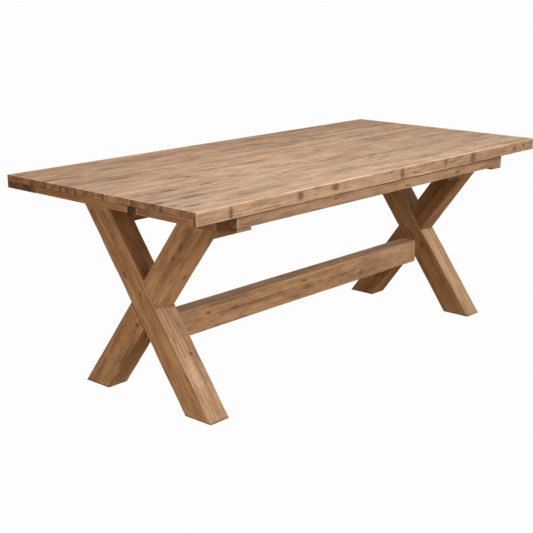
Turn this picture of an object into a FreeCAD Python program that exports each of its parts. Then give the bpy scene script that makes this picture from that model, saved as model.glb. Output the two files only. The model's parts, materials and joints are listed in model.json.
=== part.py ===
import FreeCAD, Part
import math
import os

# Sawbuck table: a plank top with a thickened rim on two half-lapped X frames and one stretcher.
# Millimetres. +X runs along the table, +Y to its back and +Z up from the floor.
# The origin is on the floor, under the middle of the top.

# Top
table_height = 760.0
top_length = 2000.0
plank_thickness = 22.0
plank_widths = (132.0, 76.0, 76.0, 76.0, 132.0, 131.0, 131.0, 87.0)
front_board_width = 59.0
front_lip = 12.0
rim_thickness = 23.0
back_strip_width = 150.0
end_strip_width = 100.0
plug_width = 38.0
plug_from_front = 258.0
batten_width = 100.0

# X frames
end_overhang = 165.0
base_offset = 30.0
leg_width = 100.0
leg_thickness = 90.0
crossing_height = 344.0
foot_spread = 505.0
bearer_length = 684.0
bearer_depth = 86.0
corner_length = 100.0
corner_width = 110.0
corner_depth = 141.0
corner_place = 195.0
lap_clearance = 0.1

# Stretcher
stretcher_width = 68.0
stretcher_depth = 97.0
tenon_width = 36.0
tenon_height = 25.0
tenon_length = 32.0
tenon_seat = 4.0
tenon_shoulder = 6.0
tenon_clearance = 0.2

# Aprons and the blocks under their ends
apron_thickness = 30.0
apron_depth = 39.0
apron_setback = 6.0
apron_inset = 50.0
apron_offset = -35.0
block_length = 66.0
block_drop = 10.0

# Dowels and pegs
hole_clearance = 0.15
dowel_diameter = 8.0
dowel_length = 36.0
dowel_pitch = 400.0
dowels_per_seam = 4
peg_diameter = 16.0
peg_spacing = 44.0
peg_cover = 15.0
peg_rise = 10.0

# Lag bolts and washers
lag_diameter = 10.0
lag_head_width = 17.0
lag_head_height = 7.0
lag_bite = 85.0
lag_spacing = 44.0
washer_diameter = 26.0
washer_thickness = 2.5
lag_counterbore = 16.0

# Screws
screw_diameter = 5.0
screw_head = 10.0
screw_bite = 14.0
bearer_screw_grip = 40.0
leg_top_margin = 15.0
back_screw_pitch = 400.0
back_screws = 4
apron_screw_pitch = 300.0
apron_screw_bite = 18.0
block_screw_bite = 28.0
block_screw_spacing = 32.0
corner_screw_spacing = 50.0
corner_screw_place = 204.0

# Levels and places that follow from the sizes above
top_width = sum(plank_widths) + front_board_width
front_edge = -top_width / 2
back_edge = top_width / 2
plank_bottom = table_height - plank_thickness
underside = plank_bottom - rim_thickness
front_board_back = front_edge + front_board_width
back_strip_front = back_edge - back_strip_width
frame_reach = top_length / 2 - end_overhang - leg_thickness / 2
bearer_bottom = plank_bottom - bearer_depth
lean = math.atan2(foot_spread / 2, crossing_height)
leg_level_width = leg_width / math.cos(lean)
low_notch = crossing_height - leg_width / 2 / math.sin(lean)
tenon_bottom = low_notch + tenon_seat
stretcher_top = tenon_bottom + tenon_height + tenon_shoulder
apron_outer = top_width / 2 - apron_setback
apron_inner = apron_outer - apron_thickness
apron_end = top_length / 2 - end_overhang - apron_inset
apron_bottom = underside - apron_depth
apron_run = apron_end - block_length - screw_head
apron_screws = 1 + 2 * int(apron_run / apron_screw_pitch)
bearer_end = bearer_length / 2
corner_bottom = plank_bottom - corner_depth

X = FreeCAD.Vector(1, 0, 0)
Y = FreeCAD.Vector(0, 1, 0)
Z = FreeCAD.Vector(0, 0, 1)
ends = {"near": -1, "far": 1}
sides = {"front": -1, "rear": 1}
frame_x = {end: way * frame_reach + base_offset for end, way in ends.items()}
inner_x = {end: frame_x[end] - way * leg_thickness / 2 for end, way in ends.items()}
outer_x = {end: frame_x[end] + way * leg_thickness / 2 for end, way in ends.items()}
apron_x = {end: way * apron_end + apron_offset for end, way in ends.items()}


def box(x0, x1, y0, y1, z0, z1):
    """A block between two opposite corners, in either order along each axis."""
    low = FreeCAD.Vector(min(x0, x1), min(y0, y1), min(z0, z1))
    return Part.makeBox(abs(x1 - x0), abs(y1 - y0), abs(z1 - z0), low)


def aimed(shape, point, direction):
    """A copy of a shape made along +Z, moved to a point and turned along a direction."""
    turned = shape.copy()
    turned.Placement = FreeCAD.Placement(point, FreeCAD.Rotation(Z, direction))
    return turned


def pin(diameter, length, grow=0.0):
    """A round pin along +Z from its end. grow gives the hole that it sits in."""
    return Part.makeCylinder(diameter / 2 + grow, length + 2 * grow, FreeCAD.Vector(0, 0, -grow))


def screw(length, grow=0.0):
    """A countersunk screw along +Z from its head's flat face. grow gives its hole."""
    shank = screw_diameter / 2 + grow
    head = screw_head / 2 + grow
    cone = Part.makeCone(head, shank, (screw_head - screw_diameter) / 2)
    return cone.fuse(Part.makeCylinder(shank, length + grow)).removeSplitter()


def drilled(shape, holes):
    """The shape with every hole that reaches it cut away."""
    near = [hole for hole in holes if shape.BoundBox.intersect(hole.BoundBox)]
    if not near:
        return shape
    return shape.cut(near).Solids[0]


def line_up(count, pitch):
    """Places spaced evenly about the middle."""
    return [(i - (count - 1) / 2) * pitch for i in range(count)]


def leg_centre(height):
    """How far a leg's middle line stands from the table's middle, towards its foot's side."""
    return (crossing_height - height) * math.tan(lean)


def leg_beam(side, x0, x1, grow=0.0):
    """A sloping beam between two planes across X. side is that of its foot."""
    half = leg_level_width / 2 + grow / math.cos(lean)
    corners = []
    for height, way in ((0, -1), (0, 1), (bearer_bottom, 1), (bearer_bottom, -1)):
        y = side * leg_centre(height) + way * half
        corners.append(FreeCAD.Vector(x0, y, height))
    face = Part.Face(Part.makePolygon(corners + corners[:1]))
    return face.extrude(X * (x1 - x0))


# Top boards, from the back edge to the front
plank_edges = [back_edge]
for width in plank_widths:
    plank_edges.append(plank_edges[-1] - width)
plank_middles = [(a + b) / 2 for a, b in zip(plank_edges, plank_edges[1:])]
half_length = top_length / 2
pieces = {}
for i, (back, front) in enumerate(zip(plank_edges, plank_edges[1:])):
    plank = box(-half_length, half_length, back, front, plank_bottom, table_height)
    pieces["top_plank_%d" % (i + 1)] = plank

# Rim strips and plugs under the boards
back_strip = box(-half_length, half_length, back_strip_front, back_edge, underside, plank_bottom)
pieces["back_edge_strip"] = back_strip
plug_front = front_edge + plug_from_front
plug_back = plug_front + plug_width
strip_inner = half_length - end_strip_width
rim_spans = (("end_strip_%s_rear", plug_back, back_strip_front),
             ("end_plug_%s", plug_front, plug_back),
             ("end_strip_%s_front", front_edge + front_lip, plug_front))
for end, way in ends.items():
    for name, y0, y1 in rim_spans:
        strip = box(way * strip_inner, way * half_length, y0, y1, underside, plank_bottom)
        pieces[name % end] = strip

# Front board, housed over the end strips so that only a lip of it covers their ends
front_board = box(-half_length, half_length, front_edge, front_board_back, underside, table_height)
front_strips = [pieces["end_strip_%s_front" % end] for end in ends]
pieces["front_edge_board"] = front_board.cut(front_strips).Solids[0]

# Batten across the middle of the boards
pieces["middle_batten"] = box(-batten_width / 2, batten_width / 2, front_board_back, back_strip_front,
                              underside, plank_bottom)

# Bearers, notched under the back strip
for end in ends:
    bearer = box(inner_x[end], outer_x[end], -bearer_end, bearer_end, bearer_bottom, plank_bottom)
    pieces["bearer_" + end] = bearer.cut(back_strip)

# Corner blocks under the boards, inside each leg's top
for end, way in ends.items():
    for side, out in sides.items():
        corner = box(inner_x[end], inner_x[end] - way * corner_length,
                     out * (corner_place - corner_width / 2), out * (corner_place + corner_width / 2),
                     corner_bottom, plank_bottom)
        pieces["corner_block_%s_%s" % (end, side)] = corner

# Legs: in each frame the front-footed beam keeps the half towards -X where the two cross
for end in ends:
    middle = frame_x[end]
    low_x = middle - leg_thickness / 2
    high_x = middle + leg_thickness / 2
    front_leg = leg_beam(-1, low_x, high_x)
    rear_leg = leg_beam(1, low_x, high_x)
    pieces[end + "_leg_front"] = front_leg.cut(leg_beam(1, middle, high_x, lap_clearance))
    pieces[end + "_leg_rear"] = rear_leg.cut(leg_beam(-1, low_x, middle, lap_clearance))

# Stretcher with a stub tenon into each crossing
stretcher = box(inner_x["near"], inner_x["far"], -stretcher_width / 2, stretcher_width / 2,
                stretcher_top - stretcher_depth, stretcher_top)
mortises = []
for end, way in ends.items():
    stretcher = stretcher.fuse(box(inner_x[end], inner_x[end] + way * tenon_length,
                                   -tenon_width / 2, tenon_width / 2,
                                   tenon_bottom, tenon_bottom + tenon_height))
    mortises.append(box(inner_x[end], inner_x[end] + way * (tenon_length + tenon_clearance),
                        -tenon_width / 2 - tenon_clearance, tenon_width / 2 + tenon_clearance,
                        tenon_bottom - tenon_clearance, tenon_bottom + tenon_height + tenon_clearance))
pieces["stretcher"] = stretcher.removeSplitter()
for end in ends:
    for side in sides:
        leg = end + "_leg_" + side
        pieces[leg] = drilled(pieces[leg], mortises)

# Aprons and the blocks under their ends
for side, out in sides.items():
    apron = box(apron_x["near"], apron_x["far"], out * apron_inner, out * apron_outer,
                apron_bottom, underside)
    pieces["apron_" + side] = apron
    for end, way in ends.items():
        block = box(apron_x[end] - way * block_length, apron_x[end], out * apron_inner, out * apron_outer,
                    apron_bottom - block_drop, apron_bottom)
        pieces["apron_block_%s_%s" % (end, side)] = block

# Fasteners, each with the hole that it sits in
groups = {}
holes = []


def fasten(group, shape, hole, point, direction):
    """Put one fastener in its group and keep its hole."""
    groups.setdefault(group, []).append(aimed(shape, point, direction))
    holes.append(aimed(hole, point, direction))


# Dowels across each seam between boards
dowel = pin(dowel_diameter, dowel_length)
dowel_hole = pin(dowel_diameter, dowel_length, hole_clearance)
dowel_level = table_height - plank_thickness / 2
for seam in plank_edges[1:]:
    for x in line_up(dowels_per_seam, dowel_pitch):
        point = FreeCAD.Vector(x, seam - dowel_length / 2, dowel_level)
        fasten("board_dowels", dowel, dowel_hole, point, Y)

# Pegs through each half-lap, driven from the frame's inner face
peg_length = leg_thickness - peg_cover
peg = pin(peg_diameter, peg_length)
peg_hole = pin(peg_diameter, peg_length, hole_clearance)
for end, way in ends.items():
    for y in line_up(2, peg_spacing):
        point = FreeCAD.Vector(inner_x[end], y, crossing_height + peg_rise)
        fasten("lap_pegs", peg, peg_hole, point, X * way)

# Lag bolts down through the bearers into the leg tops, on washers in counterbores
lag_seat = plank_bottom - lag_counterbore
lag_length = lag_seat - bearer_bottom + lag_bite
head_across = lag_head_width / math.sqrt(3)
hexagon = [FreeCAD.Vector(head_across * math.cos(i * math.pi / 3), head_across * math.sin(i * math.pi / 3), 0)
           for i in range(7)]
lag_head = Part.Face(Part.makePolygon(hexagon)).extrude(Z * -lag_head_height)
lag = lag_head.fuse(pin(lag_diameter, lag_length + washer_thickness)).removeSplitter()
washer_bore = pin(lag_diameter, washer_thickness, hole_clearance)
washer = pin(washer_diameter, washer_thickness).cut(washer_bore)
lag_hole = pin(lag_diameter, lag_length, hole_clearance)
counterbore = Part.makeCylinder(washer_diameter / 2 + hole_clearance, lag_counterbore)
lag_reach = abs(leg_centre(bearer_bottom) + leg_centre(bearer_bottom - lag_bite)) / 2
for middle in frame_x.values():
    for side in sides.values():
        for x in line_up(2, lag_spacing):
            seat = FreeCAD.Vector(middle + x, side * lag_reach, lag_seat)
            groups.setdefault("lag_bolts", []).append(aimed(lag, seat + Z * washer_thickness, -Z))
            groups.setdefault("lag_washers", []).append(aimed(washer, seat, Z))
            holes.append(aimed(lag_hole, seat, -Z))
            holes.append(aimed(counterbore, seat, Z))

# Screws up through the rim strips and the batten into the boards
rim_length = rim_thickness + screw_bite
rim_screw = screw(rim_length)
rim_hole = screw(rim_length, hole_clearance)
rim_middle = half_length - end_strip_width / 2
for x in (-rim_middle, 0, rim_middle):
    for y in plank_middles[1:]:
        fasten("rim_screws", rim_screw, rim_hole, FreeCAD.Vector(x, y, underside), Z)
back_screw_y = (plank_edges[1] + apron_inner) / 2
for x in line_up(back_screws, back_screw_pitch):
    fasten("rim_screws", rim_screw, rim_hole, FreeCAD.Vector(x, back_screw_y, underside), Z)

# Screws in counterbores up through the bearers, clear of the leg tops
grip_length = bearer_screw_grip + screw_bite
grip_screw = screw(grip_length)
grip_hole = screw(grip_length, hole_clearance)
grip_level = plank_bottom - bearer_screw_grip
grip_bore = Part.makeCylinder(screw_head / 2 + hole_clearance, grip_level - bearer_bottom)
leg_top_reach = leg_level_width / 2 + leg_top_margin
for middle in frame_x.values():
    for y in plank_middles[1:]:
        clear_of_leg = abs(abs(y) - abs(leg_centre(bearer_bottom))) > leg_top_reach
        if clear_of_leg and abs(y) < bearer_end - leg_top_margin:
            point = FreeCAD.Vector(middle, y, grip_level)
            fasten("bearer_screws", grip_screw, grip_hole, point, Z)
            holes.append(aimed(grip_bore, point, -Z))

# Screws up through the aprons into the rim, as many as their pitch allows between the blocks
apron_length = apron_depth + apron_screw_bite
apron_screw = screw(apron_length)
apron_hole = screw(apron_length, hole_clearance)
apron_middle = (apron_inner + apron_outer) / 2
for side in sides.values():
    for x in line_up(apron_screws, apron_screw_pitch):
        point = FreeCAD.Vector(apron_offset + x, side * apron_middle, apron_bottom)
        fasten("apron_screws", apron_screw, apron_hole, point, Z)

# Two screws up through each block into its apron
block_screw = screw(block_drop + block_screw_bite)
block_hole = screw(block_drop + block_screw_bite, hole_clearance)
for end, way in ends.items():
    block_middle = apron_x[end] - way * block_length / 2
    for side in sides.values():
        for x in line_up(2, block_screw_spacing):
            point = FreeCAD.Vector(block_middle + x, side * apron_middle, apron_bottom - block_drop)
            fasten("block_screws", block_screw, block_hole, point, Z)

# Two screws in counterbores up through each corner block into the boards
corner_bore = Part.makeCylinder(screw_head / 2 + hole_clearance, grip_level - corner_bottom)
for end, way in ends.items():
    for side in sides.values():
        for x in line_up(2, corner_screw_spacing):
            corner_x = inner_x[end] - way * corner_length / 2 + x
            point = FreeCAD.Vector(corner_x, side * corner_screw_place, grip_level)
            fasten("corner_screws", grip_screw, grip_hole, point, Z)
            holes.append(aimed(corner_bore, point, -Z))

os.makedirs("parts", exist_ok=True)
for name, shape in pieces.items():
    drilled(shape, holes).exportStep("parts/%s.step" % name)
for name, members in groups.items():
    Part.makeCompound(members).exportStep("parts/%s.step" % name)
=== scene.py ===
"""A sawbuck dining table: sawn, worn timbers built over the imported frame, with studio light."""
import json
import math
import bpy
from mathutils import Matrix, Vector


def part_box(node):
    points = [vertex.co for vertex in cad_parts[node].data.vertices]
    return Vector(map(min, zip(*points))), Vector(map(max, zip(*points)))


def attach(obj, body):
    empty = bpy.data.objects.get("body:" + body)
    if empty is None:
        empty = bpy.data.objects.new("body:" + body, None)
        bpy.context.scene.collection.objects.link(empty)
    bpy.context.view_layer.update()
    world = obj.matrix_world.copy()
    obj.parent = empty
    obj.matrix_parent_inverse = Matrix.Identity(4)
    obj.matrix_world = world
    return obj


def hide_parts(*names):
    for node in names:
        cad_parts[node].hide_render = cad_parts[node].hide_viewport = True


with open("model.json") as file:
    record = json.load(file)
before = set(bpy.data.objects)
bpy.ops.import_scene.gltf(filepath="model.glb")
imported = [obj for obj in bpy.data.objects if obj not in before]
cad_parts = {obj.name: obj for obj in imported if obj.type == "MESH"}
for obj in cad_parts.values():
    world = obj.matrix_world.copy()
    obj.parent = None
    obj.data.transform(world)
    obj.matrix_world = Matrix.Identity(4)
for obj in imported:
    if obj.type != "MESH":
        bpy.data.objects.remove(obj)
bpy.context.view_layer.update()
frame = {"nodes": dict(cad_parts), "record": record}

import zlib
from collections import namedtuple

import bpy
import numpy as np
from mathutils import Euler, Matrix, Vector

BODY = "root"
AXES = {"X": Vector((1, 0, 0)), "Y": Vector((0, 1, 0)), "Z": Vector((0, 0, 1))}
ENDS = ("near", "far")
SIDES = ("front", "rear")
PLANK_COUNT = 8
WHITE = (1.0, 1.0, 1.0)

# Camera, from the photograph's edges
CAMERA_PLACE = (-3.1981, -2.6484, 1.4344)
CAMERA_YAW = -0.85087
CAMERA_PITCH = -0.26227
CAMERA_ROLL = 0.00573
CAMERA_LENS = 74.64
SENSOR_WIDTH = 36.0
CLIP_END = 1000.0

# The floor, and the sky's strength: two smooth steps that are multiplied, one over height and one along the
# table. Each has where it starts and ends, and its values there.
FLOOR_REACH = 300.0
FLOOR_GLOW = 0.983
FLOOR_ROUGHNESS = 0.9
SKY_BY_HEIGHT = (-0.25, 0.10, 0.46, 0.80)
SKY_ALONG = (-0.90, -0.20, 0.55, 1.00)
# The warm light that comes up from below, and the height of the sky where it has turned white
BOUNCED_LIGHT = (1.0, 0.72, 0.45)
WHITE_FROM = 0.60
# The soft boxes, in metres and watts
TABLE_MIDDLE = (0.0, 0.0, 0.5)
LIGHTS = {
    "key": dict(place=(0.3, -4.2, 2.85), target=TABLE_MIDDLE, size=2.2, power=202.0,
                colour=(0.93, 1.0, 1.09)),
    "fill": dict(place=(-4.5, -0.6, 2.2), target=TABLE_MIDDLE, size=2.2, power=18.0, colour=WHITE),
    "low_fill": dict(place=(-2.7, -0.5, 0.55), target=(-0.8, 0.0, 0.45), size=1.4, power=17.0,
                     colour=(1.0, 0.88, 0.74)),
    "overhead": dict(place=(-0.25, -0.4, 2.0), target=(-0.25, -0.1, 0.76), size=0.8, power=7.5,
                     colour=(0.97, 0.99, 1.0)),
}

# How each kind of timber is worked: arris radius, surface relief, chips per metre of arris, drying checks
# per side (bottom, right, top, left of its section) and their depth, half width and length, in metres
STYLES = {
    "plank": dict(radius=0.0007, relief=0.0002, chips=2.0, checks=(1, 0, 5, 0), depth=0.0018, gape=0.0011,
                  reach=(0.06, 0.26)),
    "edge": dict(radius=0.0022, relief=0.0005, chips=4.0, checks=(1, 0, 1, 2), depth=0.0016, gape=0.0008,
                 reach=(0.10, 0.40)),
    "strip": dict(radius=0.0018, relief=0.0006, chips=3.0, checks=(2, 1, 2, 1), depth=0.0016, gape=0.0008,
                  reach=(0.06, 0.25)),
    "beam": dict(radius=0.0034, relief=0.0008, chips=6.0, checks=(2, 2, 2, 2), depth=0.0034, gape=0.0011,
                 reach=(0.12, 0.42)),
    "tie": dict(radius=0.0030, relief=0.0009, chips=5.0, checks=(2, 3, 3, 2), depth=0.0026, gape=0.0010,
                reach=(0.14, 0.55)),
    "rail": dict(radius=0.0020, relief=0.0005, chips=4.0, checks=(1, 1, 2, 0), depth=0.0014, gape=0.0008,
                 reach=(0.10, 0.40)),
    "block": dict(radius=0.0018, relief=0.0005, chips=3.0, checks=(1, 0, 1, 0), depth=0.0012, gape=0.0007,
                  reach=(0.02, 0.05)),
}
# Radii of an arris that closes against a neighbour, of an eased one, and round the front board's section
SHARP = 0.0006
EASED = 0.0018
FRONT_BOARD_RADII = [0.0013, 0.0013, 0.0036, 0.0024]
# How far arris radii differ, as factors. Then how far a timber's sides lie inside its CAD box: SKIN, and a
# share of its relief more.
RADIUS_SPREAD = (0.95, 1.3)
SKIN = 0.00015
SKIN_SPREAD = (0.1, 0.7)

# Mesh rows: their step and least number along and across a timber, how far from an arris the one beside it
# is, those round an arris as shares of its quarter turn, and those at an eased end as shares of its depth
STATION_STEP = 0.016
LEAST_STATIONS = 6
ACROSS_STEP = 0.011
LEAST_ACROSS = 3
ARRIS_ROW = 0.003
ARRIS_TURNS = (0.2, 0.4, 0.6, 0.8)
END_ROWS = (0.0, 0.08, 0.3, 0.65)
# How deep an end is eased, as a share of the style's radius, and the share of the smallest arris that this
# and the relief may use up
END_EASE = 0.5
ARRIS_ROOM = 0.85
# Waves of the worn skin in radians per metre along, across and through, the share of the fine ones, and what
# a sum of waves is divided by, times the root of their number
BROAD_WAVES = (5.0, 22.0, 22.0)
FINE_WAVES = (26.0, 95.0, 95.0)
FINE_SHARE = 0.25
WAVE_SPREAD = 1.3
# Chips in the arrises: their half lengths, and their depth as shares of the radius
CHIP_LENGTHS = (0.010, 0.030)
CHIP_BITES = (0.2, 0.9)
DEEPEST_CHIP = 0.95
# Drying checks: their least distance from an edge and from each other, the least room for one, the longest
# as a share of the timber, the share of one that may run out past an end, how far and in what waves they
# wander, and factors on the style's depth and half width
CHECK_MARGIN = 0.012
CHECK_SPACING = 0.012
CHECK_ROOM = 0.002
LONGEST_CHECK = 0.6
PAST_END = 0.3
WANDER = 0.0016
WANDER_WAVES = (14.0, 0.0, 0.0)
WANDER_COUNT = 4
CHECK_DEPTHS = (0.5, 1.1)
CHECK_GAPES = (0.6, 1.2)
# How far the row beside a check's lip is from it, how far other rows keep away from a check, and the number
# of a row that is in none
SHOULDER = 0.0015
CHECK_CLEAR = 0.005
NO_CHECK = -1
# A check that the photograph shows: its side, its place on that side, and its start and end
EXTRA_CHECKS = {"near_leg_rear": [(0, 0.007, 0.100, 0.330)]}
Check = namedtuple("Check", "side at start end depth gape wander")
# Signs of u and v at the corners of a section, each after the side that it ends
CORNERS = ((1, -1), (1, 1), (-1, 1), (-1, -1))
# What a section says of each point: its place, the way inwards, whether it is on an arris, the number of its
# check, whether it is the root of that, and the way along its side
SECTION_FIELDS = ("u", "v", "inward_u", "inward_v", "arris", "check", "root", "run_u", "run_v")

# Joints: how far each leg of a half-lap stays off the lap's middle, how much closer its cheeks are than the
# other leg's CAD sides, how far cutters reach and stand out, a counterbore's radius, the distance in plan
# within which points belong to one fastener, and how level the cut ends of a leg are
LAP_GAP = 0.0002
LAP_SNUG = 0.0002
CUTTER_REACH = 1.0
CUTTER_MARGIN = 0.01
BORE_RADIUS = 0.00515
BORE_SIDES = 24
FASTENER_SPREAD = 0.015
LEVEL = 1e-4
# How far wear reaches from an arris, and how squarely a face has to cut the grain to be end grain
WEAR_REACH = 0.005
END_FACING = 0.7
# The size that stands for every peg and dowel in their finish
PEG_SIZE = (0.08, 0.016, 0.016)

# The oiled, reclaimed softwoods: linear colours, the spacing of the rings, how strongly dark streaks, fine
# dashes and cracks show, how fine the figure is across the grain, how much long bands and short mottling
# change the tone, the least and most that rubbed arrises have paled, and the number of random knots
LOOKS = {
    "top_wood": dict(light=(0.475, 0.310, 0.191), mid=(0.356, 0.214, 0.123), dark=(0.198, 0.104, 0.053),
                     rings=0.0110, streaks=0.54, dashes=0.38, cracks=0.75, fineness=0.72, bands=0.55,
                     mottle=0.75, wear=(0.12, 0.50), knots=1),
    "rim_wood": dict(light=(0.312, 0.150, 0.061), mid=(0.222, 0.099, 0.038), dark=(0.094, 0.038, 0.014),
                     rings=0.0090, streaks=0.60, dashes=0.28, cracks=0.75, fineness=0.90, bands=0.80,
                     mottle=0.70, wear=(0.04, 0.20), knots=1),
    "plug_wood": dict(light=(0.082, 0.034, 0.013), mid=(0.047, 0.019, 0.007), dark=(0.022, 0.009, 0.003),
                      rings=0.0050, streaks=0.30, dashes=0.20, cracks=0.75, fineness=1.00, bands=0.60,
                      mottle=0.60, wear=(0.02, 0.08), knots=0),
    "frame_wood": dict(light=(0.460, 0.268, 0.139), mid=(0.339, 0.184, 0.087), dark=(0.174, 0.083, 0.035),
                       rings=0.0120, streaks=0.28, dashes=0.16, cracks=0.45, fineness=0.85, bands=0.62,
                       mottle=0.80, wear=(0.12, 0.55), knots=2),
    "apron_wood": dict(light=(0.360, 0.220, 0.126), mid=(0.269, 0.153, 0.080), dark=(0.144, 0.071, 0.034),
                       rings=0.0100, streaks=0.45, dashes=0.24, cracks=0.60, fineness=0.85, bands=0.70,
                       mottle=0.80, wear=(0.10, 0.45), knots=1),
    "dowel_wood": dict(light=(0.480, 0.290, 0.150), mid=(0.380, 0.215, 0.105), dark=(0.230, 0.120, 0.055),
                       rings=0.0030, streaks=0.30, dashes=0.20, cracks=0.75, fineness=1.00, bands=0.60,
                       mottle=0.40, wear=(0.05, 0.20), knots=0),
}
KNOT_COLOUR = (0.120, 0.055, 0.024)
# Dark colours of streaks and cracks; they also colour the painted shade and painted shadow marks
STREAK_AND_SHADE_COLOUR = (0.165, 0.078, 0.034)
CRACK_AND_SHADOW_COLOUR = (0.060, 0.027, 0.011)
PALE_COLOUR = (0.590, 0.405, 0.265)
# Colours of painted warm light and of painted warm shade on the legs
PAINTED_WARM_LIGHT_COLOUR = (0.500, 0.270, 0.105)
PAINTED_WARM_SHADE_COLOUR = (0.300, 0.120, 0.026)
END_GRAIN_TINT = (0.56, 0.45, 0.35)

# The figure of the wood as noise: its scale along and across the grain, detail and roughness. In the second
# table the scale across is times the wood's fineness. Then how far each piece's noise may be shifted.
BROAD_NOISE = {
    "ripple": (75.0, 110.0, 3.0, 0.60), "swirl": (1.2, 6.0, 3.0, 0.45), "jitter": (7.0, 36.0, 2.0, 0.50),
    "blotch": (1.5, 9.0, 3.0, 0.55), "patch": (1.6, 8.0, 2.0, 0.50), "end": (3.0, 42.0, 3.0, 0.60),
}
FINE_NOISE = {
    "fibre": (8.0, 210.0, 3.0, 0.60), "dashes": (15.0, 170.0, 2.0, 0.50), "cloud": (6.0, 26.0, 4.0, 0.62),
    "band": (2.0, 56.0, 3.0, 0.60), "mottle": (16.0, 54.0, 4.0, 0.65), "streak": (5.0, 74.0, 3.0, 0.62),
    "line": (2.4, 56.0, 2.0, 0.40), "broken": (6.0, 34.0, 1.0, 0.50),
}
NOISE_SHIFT = 40.0
# Patterns cut from that noise: where each starts and is full, and its values there if they aren't 0 and 1.
# Cracks follow the line noise where it is near its middle.
PATTERN_STEPS = {"dashes": (0.60, 0.70), "streak": (0.58, 0.66), "patch": (0.40, 0.62, 0.22, 1.0),
                 "broken": (0.53, 0.60), "end": (0.32, 0.66, 0.62, 1.20)}
CRACK_STEP = (0.020, 0.003)
# The weights in the tone that are the same in all woods, and the tone of the dark, middle and light colours
BLOTCH_WEIGHT = 0.85
CLOUD_WEIGHT = 0.80
FIBRE_WEIGHT = 0.45
LATE_WEIGHT = -0.14
TONE_STOPS = (0.10, 0.48, 0.86)
# Rings: the pith's place as shares of the section and a gap below it, how far the fields bend the rings, and
# the parts of a ring in which its dark late wood comes and goes
PITH_ACROSS = (-0.5, 0.5)
PITH_BELOW = (0.8, 1.8)
PITH_GAP = 0.02
RING_BENDS = {"swirl": 0.045, "jitter": 0.0060, "halo": 0.0015}
LATE_STARTS = (0.30, 0.88)
LATE_ENDS = (0.90, 1.0)
# Marks: the noise that makes their edges uneven, where they start and are full, in half sizes, and their
# shares
RIPPLE_BASE = -0.9
RIPPLE_WEIGHT = 1.8
KNOT_CORE = (1.25, 0.65)
KNOT_HALO = (2.4, 0.6)
HOLE_EDGE = (1.0, 0.6)
BROAD_EDGE = (1.25, 0.10)
CORE_SHARE = 0.80
HALO_SHARE = 0.30
HOLE_SHARE = 0.90
# Random knots: how far off the middle they may be, across and along, as shares of the piece, their half
# widths, and their stretch along the grain
KNOT_ROOM = 0.36
KNOT_REACH = 0.44
KNOT_WIDTHS = (0.004, 0.007)
KNOT_STRETCH = (1.4, 2.6)
# Finish: the weights of the fields in roughness and bump height, the bump's strength and depth, and gloss
BASE_ROUGHNESS = 0.52
ROUGHNESS_WEIGHTS = {"fibre": 0.22, "late": 0.06, "core": -0.10}
HEIGHT_WEIGHTS = {"late": 0.30, "fibre": 0.55, "dashes": -0.40, "crack": -1.6, "streak": -0.35,
                  "core": -0.5, "hole": -2.0}
WOOD_BUMP = (0.55, 0.0009)
WOOD_GLOSS = 0.38

# Plated steel: the scale and detail of its noise, the weights in its tone and roughness, and its bump
STEEL_NOISE = {"patch": ((160.0, 160.0, 160.0), 4.0), "scratch": ((2400.0, 500.0, 700.0), 3.0)}
STEEL_NOISE_ROUGHNESS = 0.6
STEEL_TONE = {"patch": 0.7, "scratch": 0.3}
STEEL_COLOURS = ((0.3, (0.20, 0.19, 0.18)), (0.7, (0.50, 0.50, 0.51)))
STEEL_ROUGHNESS = 0.22
STEEL_ROUGHNESS_WEIGHTS = {"patch": 0.35, "scratch": 0.12}
STEEL_BUMP = (0.3, 0.0002)

# Pieces that are darker, lighter or paler than the rest of their wood, as factors on red, green and blue.
# The bearers and far_leg_rear are darkened as painted shade, for the shade under the top and behind the
# other leg.
TINTS_AND_PAINTED_SHADE = {
    "top_plank_1": (0.91, 0.87, 0.84), "top_plank_2": (0.90, 0.87, 0.85), "top_plank_6": (1.03, 1.04, 1.06),
    "top_plank_7": (1.03, 1.06, 1.10), "top_plank_8": (1.02, 1.08, 1.14), "stretcher": (0.98, 0.99, 1.00),
    "far_leg_front": (1.00, 1.02, 1.04), "far_leg_rear": (0.82, 0.76, 0.64),
    "bearer_near": (0.66, 0.62, 0.58), "bearer_far": (0.66, 0.62, 0.58),
    "corner_block_near_front": (0.98, 0.96, 0.94), "back_edge_strip": (0.80, 0.76, 0.74),
    "end_strip_near_rear": (0.91, 0.93, 0.95), "end_strip_near_front": (1.10, 1.15, 1.18),
}
# Painted shade on the apron blocks and on the corner blocks but the near front one, which sit in shade under
# the top
CORNER_BLOCK_PAINTED_SHADE = (0.68, 0.63, 0.58)
APRON_BLOCK_PAINTED_SHADE = (0.76, 0.72, 0.70)
# The share of the usual wear on pieces that the top shelters
WEAR_SHARES = {"bearer_near": 0.3, "bearer_far": 0.3}
APRON_BLOCK_WEAR = 0.2
for end in ENDS:
    for side in SIDES:
        TINTS_AND_PAINTED_SHADE.setdefault("corner_block_%s_%s" % (end, side), CORNER_BLOCK_PAINTED_SHADE)
        TINTS_AND_PAINTED_SHADE["apron_block_%s_%s" % (end, side)] = APRON_BLOCK_PAINTED_SHADE
        WEAR_SHARES["apron_block_%s_%s" % (end, side)] = APRON_BLOCK_WEAR
# The share of the end grain's tint on pieces whose ends are paler
END_GRAIN_SHARES = {"bearer_near": 0.0, "bearer_far": 0.0, "apron_block_far_front": 0.3,
                    "top_plank_6": 0.82, "top_plank_8": 0.85}
# Where the cloudy noise starts to pale rubbed arrises, and where it pales them most
RUBBED_STEP = (0.35, 0.62)
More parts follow.
